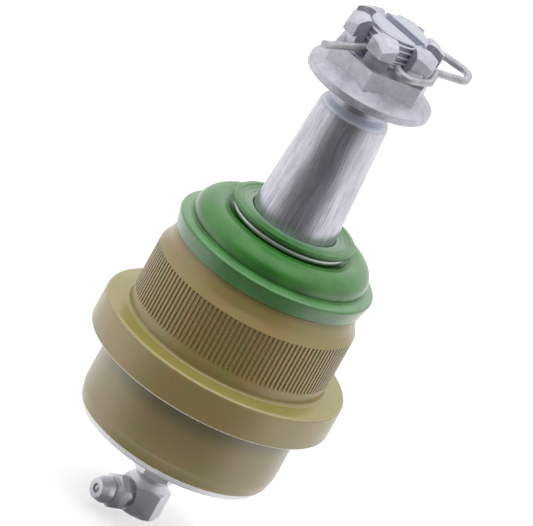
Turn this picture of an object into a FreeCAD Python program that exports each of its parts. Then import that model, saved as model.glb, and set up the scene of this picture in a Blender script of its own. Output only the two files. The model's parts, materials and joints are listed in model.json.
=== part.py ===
"""Press-in suspension ball joint with a dust boot, a castellated nut and an angled grease fitting.

Millimetres. The origin is the centre of the ball and +Z runs up the stud. A direction round the axis
is given as an angle from the front (-Y) towards +X.
"""

import FreeCAD, Part
import math
import os

Vector = FreeCAD.Vector

# Ball and stud
ball_radius = 17.0
waist_radius = 9.6
waist_fillet = 2.0
stud_swing_limit = 20.0
taper_top_z = 66.6
taper_top_radius = 9.14
taper_ratio = 8.0
taper_bottom_z = 31.0
waist_top_z = 28.4
taper_bottom_fillet = 1.0
taper_shoulder_radius = 2.4
thread_neck_radius = 7.1
thread_neck_bottom_z = 68.2
thread_radius = 7.5
thread_start_z = 74.2
thread_start_chamfer = 0.4
stud_end_z = 90.8
stud_end_chamfer = 0.5
drive_slot_width = 3.8
drive_slot_depth = 2.6
drive_slot_angle = 57.0
pin_hole_radius = 1.6
pin_angle = -36.0

# Bearings and preload stack under the ball
ball_clearance = 0.05
housing_bore_radius = 21.0
bearing_split_z = -0.6
bearing_split_gap = 0.8
upper_bearing_top_z = 11.0
seat_edge_angle = 60.0
seat_flare = 1.3
grease_groove_width = 2.4
grease_groove_depth = 0.9
grease_groove_count = 4
lower_bearing_floor = 2.45
lower_bearing_bottom_z = -ball_radius - ball_clearance - lower_bearing_floor
lower_bearing_hole_radius = 3.5
pressure_plate_thickness = 2.0
pressure_plate_clearance = 0.3
pressure_plate_hole_radius = 3.5
preload_spring_outer_radius = 19.5
preload_spring_inner_radius = 9.0
preload_spring_thickness = 1.5

# Housing
housing_neck_radius = 22.0
housing_neck_top_z = 23.5
housing_neck_edge = 0.4
mouth_radius = 20.2
ledge_radius = 16.2
shoulder_top_z = 21.0
shoulder_top_radius = 24.4
shoulder_bend_z = 17.2
shoulder_bend_radius = 25.4
shoulder_blend = 5.0
knurl_radius = 26.7
knurl_top_z = 14.8
knurl_bottom_z = 1.35
knurl_depth = 0.45
knurl_count = 130
knurl_crest_share = 0.5
knurl_root_share = 0.24
knurl_runout = 1.2
knurl_crest_relief = 0.02
flange_top_z = -2.0
flange_radius = 32.5
flange_thickness = 9.05
flange_top_edge = 1.0
flange_bottom_edge = 0.6
collar_fillet = 1.0
barrel_radius = 26.35
barrel_fillet = 0.8
lip_start_z = -26.7
lip_end_z = -29.85
lip_end_radius = 25.65

# Cover plate closed in by the housing's rolled lip
cover_flange_radius = 25.3
cover_flange_top_z = -25.9
cover_flange_thickness = 2.5
cover_radius = 24.8
cover_rim_z = -31.55
cover_centre_z = -33.5
cover_centre_radius = 8.0
cover_wall = 2.2
cover_dish_radius = 16.5
seal_groove_inner_radius = 21.9
seal_groove_width = 1.9
seal_groove_depth = 1.5

# Grease fitting
shank_radius = 3.0
shank_top_z = -29.5
hex_across_flats = 11.1
upper_hex_top_z = -33.8
upper_hex_bottom_z = -41.0
upper_hex_corner_angle = -21.0
hex_bevel = 0.7
fitting_neck_radius = 4.5
fitting_neck_z = -42.4
block_top_z = -44.1
block_bottom_z = -51.9
block_dome = 0.5
countersink_radius = 4.3
grease_passage_radius = 0.9
nozzle_angle = -46.0
nozzle_z = -47.9
nozzle_seat_depth = 2.0
nozzle_shank_radius = 2.9
nozzle_across_flats = 8.4
nozzle_hex_start = 7.0
nozzle_hex_end = 9.9
nozzle_hex_cone_radius = 3.5
nozzle_hex_cone_length = 0.7
nozzle_neck_radius = 2.8
nozzle_neck_end = 11.1
nozzle_head_radius = 3.4
nozzle_head_start = 11.5
nozzle_head_length = 1.3
nozzle_tip = 14.9
nozzle_tip_radius = 2.5
nozzle_bore_radius = 1.75
nozzle_mouth_radius = 1.2
nozzle_mouth_depth = 0.5
check_ball_radius = 1.6
check_ball_clearance = 0.03
check_spring_radius = 1.25
check_spring_wire_radius = 0.2
check_spring_pitch = 1.3

# Dust boot and its rings
boot_clearance = 0.15
boot_base_bottom_radius = 25.4
boot_base_top_radius = 26.2
boot_base_top_z = 25.7
boot_base_edge = 0.8
boot_bulge_centre_radius = 18.7
boot_bulge_centre_z = 27.3
boot_bulge_radius = 4.8
boot_wall = 2.2
boot_neck_bottom_z = 29.6
boot_lip_radius = 16.4
boot_lip_thickness = 1.4
boot_top_z = 34.9
boot_lip_edge = 0.4
base_ring_thickness = 1.3
neck_ring_wire_radius = 0.7
neck_ring_radius = 14.7
neck_ring_z = 32.2
neck_ring_clearance = 0.05
neck_ring_gap_angle = 6.0

# Castellated flange nut
nut_bottom_z = 72.9
nut_flange_radius = 16.4
nut_flange_rim_z = 75.0
nut_flange_slope = 32.0
nut_across_flats = 24.0
nut_corner_angle = -4.0
nut_hex_top_z = 82.1
nut_groove_top_z = 85.7
nut_groove_radius = 10.9
nut_crown_corner_z = 87.4
nut_crown_edge_radius = 12.1
nut_crown_edge_z = 89.4
nut_top_z = 90.3
nut_slot_width = 5.0
nut_slot_turn = 26.5
nut_slot_floor_z = 82.4
nut_slot_count = 6
nut_bore_chamfer = 0.8

# Hairpin through the stud, its middle line drawn in plan
pin_wire_radius = 1.0
pin_z = 84.5
pin_tail_length = 24.4
pin_leg_length = 19.6
pin_leg_bend = 2.0
pin_loop = [
    (19.9, 13.1, 3.4),
    (19.7, 6.4, 2.8),
    (12.4, 1.8, 2.0),
    (12.3, -7.4, 3.0),
    (6.3, -14.2, 2.6),
]
pin_tip = (3.75, -9.3)


def side_point(angle, radius, z=0.0):
    """Point at an angle from the front, a distance from the axis and a height."""
    turn = math.radians(angle)
    return Vector(radius * math.sin(turn), -radius * math.cos(turn), z)


def rounded_edges(corners, closed=True):
    """Straight edges between corner points, with a tangent arc where a corner has a radius.

    Each corner is (point, radius). An open path keeps its two ends as they are.
    """
    count = len(corners)
    entries = []
    exits = []
    arcs = []
    for index, (point, radius) in enumerate(corners):
        at_end = not closed and index in (0, count - 1)
        if radius <= 0 or at_end:
            entries.append(point)
            exits.append(point)
            arcs.append(None)
            continue
        back = (corners[index - 1][0] - point).normalize()
        ahead = (corners[(index + 1) % count][0] - point).normalize()
        half_angle = back.getAngle(ahead) / 2
        reach = radius / math.tan(half_angle)
        middle_direction = (back + ahead).normalize()
        middle = point + middle_direction * (radius / math.sin(half_angle) - radius)
        entries.append(point + back * reach)
        exits.append(point + ahead * reach)
        arcs.append(middle)
    edges = []
    for index in range(count):
        if arcs[index] is not None:
            edges.append(Part.Arc(entries[index], arcs[index], exits[index]).toShape())
        if index == count - 1 and not closed:
            break
        following = entries[(index + 1) % count]
        if exits[index].distanceToPoint(following) > 1e-6:
            edges.append(Part.LineSegment(exits[index], following).toShape())
    return edges


def turned(corners, angle=360.0):
    """Solid of revolution about Z from corners given as (radius, z) or (radius, z, rounding)."""
    outline = []
    for corner in corners:
        rounding = corner[2] if len(corner) > 2 else 0.0
        outline.append((Vector(corner[0], 0, corner[1]), rounding))
    face = Part.Face(Part.Wire(rounded_edges(outline)))
    return face.revolve(Vector(0, 0, 0), Vector(0, 0, 1), angle)


def tube(outer_radius, inner_radius, bottom, top):
    """Plain ring between two heights."""
    outer = Part.makeCylinder(outer_radius, top - bottom, Vector(0, 0, bottom))
    return outer.cut(Part.makeCylinder(inner_radius, top - bottom, Vector(0, 0, bottom)))


def hexagonal_prism(across_flats, corner_angle, bottom, top):
    """Upright six-sided prism with one corner at the given angle from the front."""
    corner_radius = across_flats / math.sqrt(3)
    corners = [side_point(corner_angle + 60 * step, corner_radius, bottom) for step in range(6)]
    outline = Part.makePolygon(corners + corners[:1])
    return Part.Face(outline).extrude(Vector(0, 0, top - bottom))


def stud_radius(z):
    """Radius of the stud's taper at a height."""
    return taper_top_radius + (taper_top_z - z) / (2 * taper_ratio)


def knurl_ring():
    """Straight-toothed ring that stands on the housing's root cylinder."""
    root = knurl_radius - knurl_depth
    crest = knurl_radius - knurl_crest_relief
    pitch = 360.0 / knurl_count
    points = []
    for tooth in range(knurl_count):
        middle = tooth * pitch
        root_half = pitch * (1 - knurl_root_share) / 2
        crest_half = pitch * knurl_crest_share / 2
        points.append(side_point(middle - root_half, root, knurl_bottom_z))
        points.append(side_point(middle - crest_half, crest, knurl_bottom_z))
        points.append(side_point(middle + crest_half, crest, knurl_bottom_z))
        points.append(side_point(middle + root_half, root, knurl_bottom_z))
    outline = Part.Face(Part.makePolygon(points + points[:1]))
    height = knurl_top_z - knurl_bottom_z
    ring = outline.extrude(Vector(0, 0, height))
    return ring.cut(Part.makeCylinder(root - 1.0, height, Vector(0, 0, knurl_bottom_z)))


def housing():
    """Forged housing: neck, shoulder, knurled press body, flange, barrel and rolled lip."""
    root = knurl_radius - knurl_depth
    runout_length = math.sqrt(2 * knurl_runout * knurl_depth - knurl_depth**2)
    flange_bottom = flange_top_z - flange_thickness
    cover_flange_bottom = cover_flange_top_z - cover_flange_thickness
    body = turned([
        (mouth_radius, housing_neck_top_z, housing_neck_edge),
        (housing_neck_radius, housing_neck_top_z, housing_neck_edge),
        (housing_neck_radius, shoulder_top_z),
        (shoulder_top_radius, shoulder_top_z, housing_neck_edge),
        (shoulder_bend_radius, shoulder_bend_z, shoulder_blend),
        (knurl_radius, knurl_top_z),
        (root, knurl_top_z),
        (root, knurl_bottom_z + runout_length),
        (knurl_radius, knurl_bottom_z),
        (knurl_radius, flange_top_z, collar_fillet),
        (flange_radius, flange_top_z, flange_top_edge),
        (flange_radius, flange_bottom, flange_bottom_edge),
        (barrel_radius, flange_bottom, barrel_fillet),
        (barrel_radius, lip_start_z, 4.0),
        (lip_end_radius, lip_end_z, 0.4),
        (cover_radius, lip_end_z),
        (cover_radius, cover_flange_bottom - (cover_flange_radius - cover_radius)),
        (cover_flange_radius, cover_flange_bottom),
        (cover_flange_radius, cover_flange_top_z),
        (housing_bore_radius, cover_flange_top_z),
        (housing_bore_radius, upper_bearing_top_z),
        (ledge_radius, upper_bearing_top_z),
    ])
    return body.fuse(knurl_ring())


def bearing_blank(bottom, top):
    """Ring or cup that fills the housing's bore, hollowed by the ball and its clearance."""
    blank = Part.makeCylinder(housing_bore_radius, top - bottom, Vector(0, 0, bottom))
    return blank.cut(Part.makeSphere(ball_radius + ball_clearance))


def grease_grooves(bottom, top):
    """Upright cutters that score grease grooves into the spherical seat."""
    reach = ball_radius + grease_groove_depth
    cutters = []
    for step in range(grease_groove_count):
        slab = Part.makeBox(
            reach, grease_groove_width, top - bottom, Vector(0, -grease_groove_width / 2, bottom)
        )
        slab.rotate(Vector(0, 0, 0), Vector(0, 0, 1), 360.0 * step / grease_groove_count)
        cutters.append(slab)
    return Part.makeCompound(cutters).common(Part.makeSphere(reach))


def upper_bearing():
    """Ring above the ball's middle, flared at its top so that the stud can swing."""
    bottom = bearing_split_z + bearing_split_gap / 2
    edge = math.radians(seat_edge_angle)
    edge_radius = (ball_radius + ball_clearance) * math.sin(edge)
    edge_z = (ball_radius + ball_clearance) * math.cos(edge)
    flare = Part.makeCone(
        edge_radius, edge_radius + seat_flare, upper_bearing_top_z - edge_z, Vector(0, 0, edge_z)
    )
    ring = bearing_blank(bottom, upper_bearing_top_z).cut(flare)
    return ring.cut(grease_grooves(bottom, edge_z))


def lower_bearing():
    """Cup under the ball with a grease hole at its bottom."""
    top = bearing_split_z - bearing_split_gap / 2
    hole = Part.makeCylinder(
        lower_bearing_hole_radius, ball_radius, Vector(0, 0, lower_bearing_bottom_z)
    )
    cup = bearing_blank(lower_bearing_bottom_z, top).cut(hole)
    return cup.cut(grease_grooves(-ball_radius, top))


def pressure_plate():
    """Flat steel plate that carries the spring's force to the lower bearing."""
    return tube(
        housing_bore_radius - pressure_plate_clearance,
        pressure_plate_hole_radius,
        lower_bearing_bottom_z - pressure_plate_thickness,
        lower_bearing_bottom_z,
    )


def preload_spring():
    """Conical disc spring between the cover plate and the pressure plate."""
    top = lower_bearing_bottom_z - pressure_plate_thickness
    bottom = cover_flange_top_z
    return turned([
        (preload_spring_outer_radius, bottom),
        (preload_spring_outer_radius, bottom + preload_spring_thickness),
        (preload_spring_inner_radius, top),
        (preload_spring_inner_radius, top - preload_spring_thickness),
    ])


def cover_plate():
    """Pressed cover: a clamped flange with a seal groove and a dished middle with a threaded hole."""
    flange_bottom = cover_flange_top_z - cover_flange_thickness
    groove_outer = seal_groove_inner_radius + seal_groove_width
    groove_floor = cover_flange_top_z - seal_groove_depth
    inner_centre_z = cover_centre_z + cover_wall
    return turned([
        (shank_radius, cover_centre_z),
        (cover_centre_radius, cover_centre_z, 6.0),
        (cover_radius, cover_rim_z, 0.6),
        (cover_radius, flange_bottom - (cover_flange_radius - cover_radius)),
        (cover_flange_radius, flange_bottom),
        (cover_flange_radius, cover_flange_top_z),
        (groove_outer, cover_flange_top_z),
        (groove_outer, groove_floor),
        (seal_groove_inner_radius, groove_floor),
        (seal_groove_inner_radius, cover_flange_top_z),
        (cover_dish_radius, cover_flange_top_z, 0.5),
        (cover_dish_radius - 1.0, inner_centre_z + 1.2, 1.5),
        (cover_centre_radius, inner_centre_z, 3.0),
        (shank_radius, inner_centre_z),
    ])


def cover_seal():
    """Round sealing ring in the cover's groove."""
    wire_radius = seal_groove_depth / 2
    middle_radius = seal_groove_inner_radius + seal_groove_width / 2
    return Part.makeTorus(middle_radius, wire_radius, Vector(0, 0, cover_flange_top_z - wire_radius))


def along_nozzle(shape):
    """Lay a shape built up Z along the nozzle's axis instead, still measured from the main axis."""
    shape.rotate(Vector(0, 0, 0), Vector(1, 0, 0), 90)
    shape.rotate(Vector(0, 0, 0), Vector(0, 0, 1), nozzle_angle)
    shape.translate(Vector(0, 0, nozzle_z))
    return shape


def bevelled_hexagon(across_flats, corner_angle, bottom, top):
    """Six-sided prism with its corners turned off towards both ends."""
    corner_radius = across_flats / math.sqrt(3)
    prism = hexagonal_prism(across_flats, corner_angle, bottom, top)
    envelope = turned([
        (0, bottom),
        (corner_radius - hex_bevel * 1.6, bottom),
        (corner_radius + 0.1, bottom + hex_bevel),
        (corner_radius + 0.1, top - hex_bevel),
        (corner_radius - hex_bevel * 1.6, top),
        (0, top),
    ])
    return prism.common(envelope)


def grease_fitting_body():
    """Angled fitting: screwed shank, wrench hexagon, neck and the block that holds the nozzle."""
    half_flats = hex_across_flats / 2
    core = turned([
        (0, shank_top_z),
        (shank_radius, shank_top_z),
        (shank_radius, upper_hex_top_z),
        (half_flats - 0.4, upper_hex_top_z),
        (half_flats - 0.4, upper_hex_bottom_z),
        (fitting_neck_radius, fitting_neck_z, 0.5),
        (half_flats, block_top_z),
        (half_flats, block_bottom_z),
        (half_flats - 1.2, block_bottom_z - block_dome),
        (0, block_bottom_z - block_dome),
    ])
    wrench = bevelled_hexagon(
        hex_across_flats, upper_hex_corner_angle, upper_hex_bottom_z, upper_hex_top_z
    )
    block = bevelled_hexagon(
        hex_across_flats, nozzle_angle + 30, block_bottom_z, block_top_z + 0.3
    )
    body = core.fuse([wrench, block])
    socket = along_nozzle(
        Part.makeCylinder(nozzle_shank_radius, half_flats, Vector(0, 0, nozzle_seat_depth))
    )
    countersink_depth = countersink_radius - nozzle_shank_radius
    countersink = along_nozzle(Part.makeCone(
        nozzle_shank_radius,
        countersink_radius + countersink_depth,
        2 * countersink_depth,
        Vector(0, 0, half_flats - countersink_depth),
    ))
    cross_passage = along_nozzle(Part.makeCylinder(grease_passage_radius, nozzle_seat_depth))
    passage = Part.makeCylinder(
        grease_passage_radius, shank_top_z - nozzle_z, Vector(0, 0, nozzle_z)
    )
    return body.cut([socket, countersink, cross_passage, passage]).removeSplitter()


def grease_nozzle():
    """Nipple screwed into the fitting's block: shank, wrench hexagon, neck and standard head."""
    half_flats = nozzle_across_flats / 2
    cone_end = nozzle_hex_end + nozzle_hex_cone_length
    head_end = nozzle_head_start + nozzle_head_length
    mouth_start = nozzle_tip - nozzle_mouth_depth
    cone_length = nozzle_bore_radius - nozzle_mouth_radius
    core = turned([
        (nozzle_bore_radius, nozzle_seat_depth),
        (nozzle_shank_radius, nozzle_seat_depth),
        (nozzle_shank_radius, nozzle_hex_start),
        (half_flats - 0.3, nozzle_hex_start),
        (half_flats - 0.3, nozzle_hex_end),
        (nozzle_hex_cone_radius, cone_end),
        (nozzle_neck_radius, cone_end),
        (nozzle_neck_radius, nozzle_neck_end),
        (nozzle_head_radius, nozzle_head_start),
        (nozzle_head_radius, head_end),
        (nozzle_tip_radius, nozzle_tip, 0.2),
        (nozzle_mouth_radius, nozzle_tip),
        (nozzle_mouth_radius, mouth_start),
        (nozzle_bore_radius, mouth_start - cone_length),
    ])
    wrench = bevelled_hexagon(nozzle_across_flats, 0.0, nozzle_hex_start, nozzle_hex_end)
    wrench = wrench.cut(
        Part.makeCylinder(nozzle_shank_radius - 0.5, nozzle_tip)
    )
    return along_nozzle(core.fuse(wrench))


def check_ball_place():
    """Distance of the check ball's centre from the main axis when it closes the mouth."""
    touching_radius = check_ball_radius + check_ball_clearance
    mouth_start = nozzle_tip - nozzle_mouth_depth
    return mouth_start - math.sqrt(touching_radius**2 - nozzle_mouth_radius**2)


def check_ball():
    """Ball that closes the nozzle's mouth."""
    return along_nozzle(Part.makeSphere(check_ball_radius, Vector(0, 0, check_ball_place())))


def check_spring():
    """Coil spring that holds the check ball against the mouth."""
    ball_back = math.sqrt(check_ball_radius**2 - check_spring_radius**2)
    start = nozzle_seat_depth + check_spring_wire_radius
    end = check_ball_place() - ball_back - 2 * check_spring_wire_radius
    helix = Part.makeHelix(check_spring_pitch, end - start, check_spring_radius)
    section = Part.Wire(
        Part.makeCircle(check_spring_wire_radius, Vector(check_spring_radius, 0, 0), Vector(0, 1, 0))
    )
    coil = Part.Wire(helix).makePipeShell([section], True, True)
    coil.translate(Vector(0, 0, start))
    return along_nozzle(coil)


def boot_base_ring():
    """Steel ring that presses the boot's base onto the housing's neck."""
    return tube(
        housing_neck_radius + base_ring_thickness,
        housing_neck_radius,
        shoulder_top_z,
        housing_neck_top_z - housing_neck_edge,
    )


def dust_boot():
    """Rubber boot: thick base over the ring, a full round bulge, a ring groove and a sealing lip."""
    base_inner = housing_neck_radius + base_ring_thickness + boot_clearance
    base_bottom = shoulder_top_z + boot_clearance
    neck_top = housing_neck_top_z + boot_clearance
    cavity_radius = boot_bulge_radius - boot_wall
    cavity_side = boot_bulge_centre_radius + cavity_radius
    groove_floor = neck_ring_radius - neck_ring_wire_radius - neck_ring_clearance
    groove_half = neck_ring_wire_radius + neck_ring_clearance
    lip_bottom = boot_top_z - boot_lip_thickness
    skirt = turned([
        (base_inner, base_bottom),
        (boot_base_bottom_radius, base_bottom, 0.3),
        (boot_base_top_radius, boot_base_top_z, boot_base_edge),
        (boot_bulge_centre_radius + boot_bulge_radius - 0.4, boot_base_top_z + 0.5),
        (boot_bulge_centre_radius, boot_base_top_z + 0.5),
        (boot_bulge_centre_radius, neck_top),
        (base_inner, neck_top),
    ])
    bulge = Part.makeTorus(
        boot_bulge_centre_radius, boot_bulge_radius, Vector(0, 0, boot_bulge_centre_z)
    )
    bulge = bulge.common(
        tube(boot_base_top_radius, stud_radius(boot_top_z), boot_base_top_z, boot_top_z)
    )
    neck = turned([
        (stud_radius(boot_neck_bottom_z), boot_neck_bottom_z),
        (boot_bulge_centre_radius, boot_neck_bottom_z),
        (groove_floor, neck_ring_z - groove_half, 0.3),
        (groove_floor, neck_ring_z + groove_half, 0.3),
        (boot_lip_radius - 0.8, lip_bottom),
        (boot_lip_radius, lip_bottom + 0.5, 0.3),
        (boot_lip_radius, boot_top_z, boot_lip_edge),
        (stud_radius(boot_top_z), boot_top_z),
    ])
    cavity = turned([
        (0, neck_top - 1.0),
        (cavity_side - 0.5, neck_top - 1.0),
        (cavity_side, boot_bulge_centre_z - 1.0, 1.0),
        (cavity_side - 1.0, boot_neck_bottom_z, 1.5),
        (0, boot_neck_bottom_z),
    ])
    ring_room = Part.makeTorus(
        neck_ring_radius, neck_ring_wire_radius + neck_ring_clearance, Vector(0, 0, neck_ring_z)
    )
    passage = Part.makeCone(
        stud_radius(boot_neck_bottom_z) + boot_clearance,
        stud_radius(boot_top_z) + boot_clearance,
        boot_top_z - boot_neck_bottom_z,
        Vector(0, 0, boot_neck_bottom_z),
    )
    boot = skirt.fuse([bulge, neck])
    return boot.cut([cavity, ring_room, passage]).removeSplitter()


def boot_neck_ring():
    """Open ring of round wire in the groove under the boot's lip."""
    section = Part.Wire(
        Part.makeCircle(neck_ring_wire_radius, Vector(neck_ring_radius, 0, neck_ring_z), Vector(0, 1, 0))
    )
    ring = Part.Face(section).revolve(
        Vector(0, 0, 0), Vector(0, 0, 1), 360 - neck_ring_gap_angle
    )
    ring.rotate(Vector(0, 0, 0), Vector(0, 0, 1), 90 + neck_ring_gap_angle / 2)
    return ring


def ball_stud():
    """Forged stud: ball, waist, taper, thread neck and threaded end with its pin hole and drive slot."""
    shank = turned([
        (0, 0),
        (waist_radius, 0),
        (waist_radius, waist_top_z, 3.0),
        (stud_radius(taper_bottom_z), taper_bottom_z, taper_bottom_fillet),
        (taper_top_radius, taper_top_z, taper_shoulder_radius),
        (thread_neck_radius, thread_neck_bottom_z, 0.8),
        (thread_neck_radius, thread_start_z - thread_start_chamfer),
        (thread_radius, thread_start_z),
        (thread_radius, stud_end_z - stud_end_chamfer),
        (thread_radius - stud_end_chamfer, stud_end_z),
        (0, stud_end_z),
    ])
    fillet_centre_z = math.sqrt(
        (ball_radius + waist_fillet) ** 2 - (waist_radius + waist_fillet) ** 2
    )
    ball_touch = ball_radius / (ball_radius + waist_fillet)
    fillet_blank = turned([
        (0, fillet_centre_z * ball_touch - 1.0),
        ((waist_radius + waist_fillet) * ball_touch - 1.0, fillet_centre_z * ball_touch - 1.0),
        ((waist_radius + waist_fillet) * ball_touch, fillet_centre_z * ball_touch),
        (waist_radius, fillet_centre_z),
        (0, fillet_centre_z),
    ])
    fillet = fillet_blank.cut(
        Part.makeTorus(waist_radius + waist_fillet, waist_fillet, Vector(0, 0, fillet_centre_z))
    )
    slot = Part.makeBox(
        4 * thread_radius,
        drive_slot_width,
        drive_slot_depth + 1.0,
        Vector(-2 * thread_radius, -drive_slot_width / 2, stud_end_z - drive_slot_depth),
    )
    slot.rotate(Vector(0, 0, 0), Vector(0, 0, 1), drive_slot_angle - 90)
    hole = Part.makeCylinder(
        pin_hole_radius,
        4 * thread_radius,
        side_point(pin_angle, 2 * thread_radius, pin_z),
        side_point(pin_angle, -1.0),
    )
    stud = Part.makeSphere(ball_radius).fuse([shank, fillet])
    return stud.cut([slot, hole]).removeSplitter()


def castle_nut():
    """Flange nut with a turned groove and a slotted crown."""
    corner_radius = nut_across_flats / math.sqrt(3)
    slope = math.tan(math.radians(nut_flange_slope))
    inner = nut_across_flats / 2 - 0.8
    flange = turned([
        (0, nut_bottom_z),
        (nut_flange_radius - 0.3, nut_bottom_z),
        (nut_flange_radius, nut_bottom_z + 0.3),
        (nut_flange_radius, nut_flange_rim_z, 0.3),
        (inner, nut_flange_rim_z + (nut_flange_radius - inner) * slope),
        (0, nut_flange_rim_z + (nut_flange_radius - inner) * slope),
    ])
    prism = hexagonal_prism(nut_across_flats, nut_corner_angle, nut_flange_rim_z, nut_top_z)
    outside = corner_radius + 0.1
    envelope = turned([
        (0, nut_flange_rim_z),
        (outside, nut_flange_rim_z),
        (outside, nut_hex_top_z),
        (nut_groove_radius, nut_hex_top_z),
        (nut_groove_radius, nut_groove_top_z),
        (outside, nut_groove_top_z),
        (outside, nut_crown_corner_z),
        (nut_crown_edge_radius, nut_crown_edge_z, 1.5),
        (nut_crown_edge_radius - 2.2, nut_top_z, 1.5),
        (0, nut_top_z),
    ])
    body = flange.fuse(prism.common(envelope))
    cutters = []
    for step in range(nut_slot_count):
        slot = Part.makeBox(
            nut_slot_width,
            2 * nut_flange_radius,
            nut_top_z - nut_slot_floor_z + 1.0,
            Vector(-nut_slot_width / 2, -2 * nut_flange_radius, nut_slot_floor_z),
        )
        slot.rotate(Vector(0, 0, 0), Vector(0, 0, 1), nut_corner_angle + nut_slot_turn + 60 * step)
        cutters.append(slot)
    bore = turned([
        (0, nut_bottom_z),
        (thread_radius + nut_bore_chamfer, nut_bottom_z),
        (thread_radius, nut_bottom_z + nut_bore_chamfer),
        (thread_radius, nut_top_z - nut_bore_chamfer),
        (thread_radius + nut_bore_chamfer, nut_top_z),
        (0, nut_top_z),
    ])
    return body.cut(cutters + [bore]).removeSplitter()


def cotter_pin():
    """Hairpin of round wire: a straight leg through the stud, a loop and a leg round the crown."""
    tail_end = side_point(pin_angle, pin_tail_length, pin_z)
    leg_end = side_point(pin_angle, -pin_leg_length, pin_z)
    corners = [(tail_end, 0), (leg_end, pin_leg_bend)]
    corners += [(Vector(x, y, pin_z), bend) for x, y, bend in pin_loop]
    corners.append((Vector(*pin_tip, pin_z), 0))
    path = Part.Wire(rounded_edges(corners, closed=False))
    section = Part.Wire(Part.makeCircle(pin_wire_radius, tail_end, leg_end - tail_end))
    return path.makePipeShell([section], True, False)


def save(name, shape):
    """Write one sub-part and stop if it isn't a single sound solid."""
    if not shape.isValid():
        raise ValueError(name + " is not valid")
    if len(shape.Solids) != 1:
        raise ValueError(name + " has " + str(len(shape.Solids)) + " solids")
    shape.Solids[0].exportStep("parts/" + name + ".step")


def main():
    """Build and write every sub-part."""
    os.makedirs("parts", exist_ok=True)
    pieces = [
        housing, upper_bearing, lower_bearing, pressure_plate, preload_spring, cover_plate,
        cover_seal, grease_fitting_body, grease_nozzle, check_ball, check_spring, boot_base_ring,
        dust_boot, boot_neck_ring, ball_stud, castle_nut, cotter_pin,
    ]
    for piece in pieces:
        save(piece.__name__, piece())


main()
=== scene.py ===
"""Looks of a press-in suspension ball joint: finishes, smooth meshes, boot, light and camera.

Lengths are metres in the part's own frame: the origin is the centre of the ball and +Z runs up the
stud. An angle round the axis is counted from the front (-Y) towards +X.
"""

from __future__ import annotations

import json
import logging
import math
from dataclasses import dataclass
from enum import Enum
from typing import Any, Sequence

import bmesh
import bpy
import numpy as np
from mathutils import Matrix, Vector

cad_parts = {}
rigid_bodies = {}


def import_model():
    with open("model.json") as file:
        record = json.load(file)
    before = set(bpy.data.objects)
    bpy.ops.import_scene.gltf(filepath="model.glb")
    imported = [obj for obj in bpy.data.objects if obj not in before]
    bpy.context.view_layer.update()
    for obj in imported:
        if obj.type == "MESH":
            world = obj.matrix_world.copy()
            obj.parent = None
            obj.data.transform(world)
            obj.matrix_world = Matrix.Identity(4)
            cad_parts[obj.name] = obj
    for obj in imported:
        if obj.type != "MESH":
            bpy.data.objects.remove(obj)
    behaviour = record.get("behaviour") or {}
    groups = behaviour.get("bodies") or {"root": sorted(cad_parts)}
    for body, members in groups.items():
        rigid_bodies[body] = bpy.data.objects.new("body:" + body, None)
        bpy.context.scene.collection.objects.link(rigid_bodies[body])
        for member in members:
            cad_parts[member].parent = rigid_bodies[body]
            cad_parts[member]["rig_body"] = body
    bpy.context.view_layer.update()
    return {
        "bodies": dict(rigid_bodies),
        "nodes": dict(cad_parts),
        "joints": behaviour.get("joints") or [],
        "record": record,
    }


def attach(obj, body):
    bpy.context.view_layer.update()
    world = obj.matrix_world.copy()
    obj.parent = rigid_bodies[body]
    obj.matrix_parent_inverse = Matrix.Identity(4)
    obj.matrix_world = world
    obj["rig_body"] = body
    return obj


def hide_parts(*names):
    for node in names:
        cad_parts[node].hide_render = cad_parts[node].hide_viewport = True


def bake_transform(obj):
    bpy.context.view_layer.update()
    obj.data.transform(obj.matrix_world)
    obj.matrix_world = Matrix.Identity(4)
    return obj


LOG = logging.getLogger("ball_joint")
MM = 0.001
SHARP_ANGLE = math.radians(28)
WELD_DISTANCE = 0.0005 * MM
NIPPLE_INWARD = (0.7193398, 0.6946584, 0.0)
WHITE = (1.0, 1.0, 1.0)
Colour = tuple[float, float, float]


class Body(str, Enum):
    """Rigid bodies of the part that a piece can ride on."""

    HOUSING = "housing"
    BOOT = "boot"
    BOOT_NECK = "boot_neck"
    STUD = "stud"
    CHECK_BALL = "check_ball"


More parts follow.
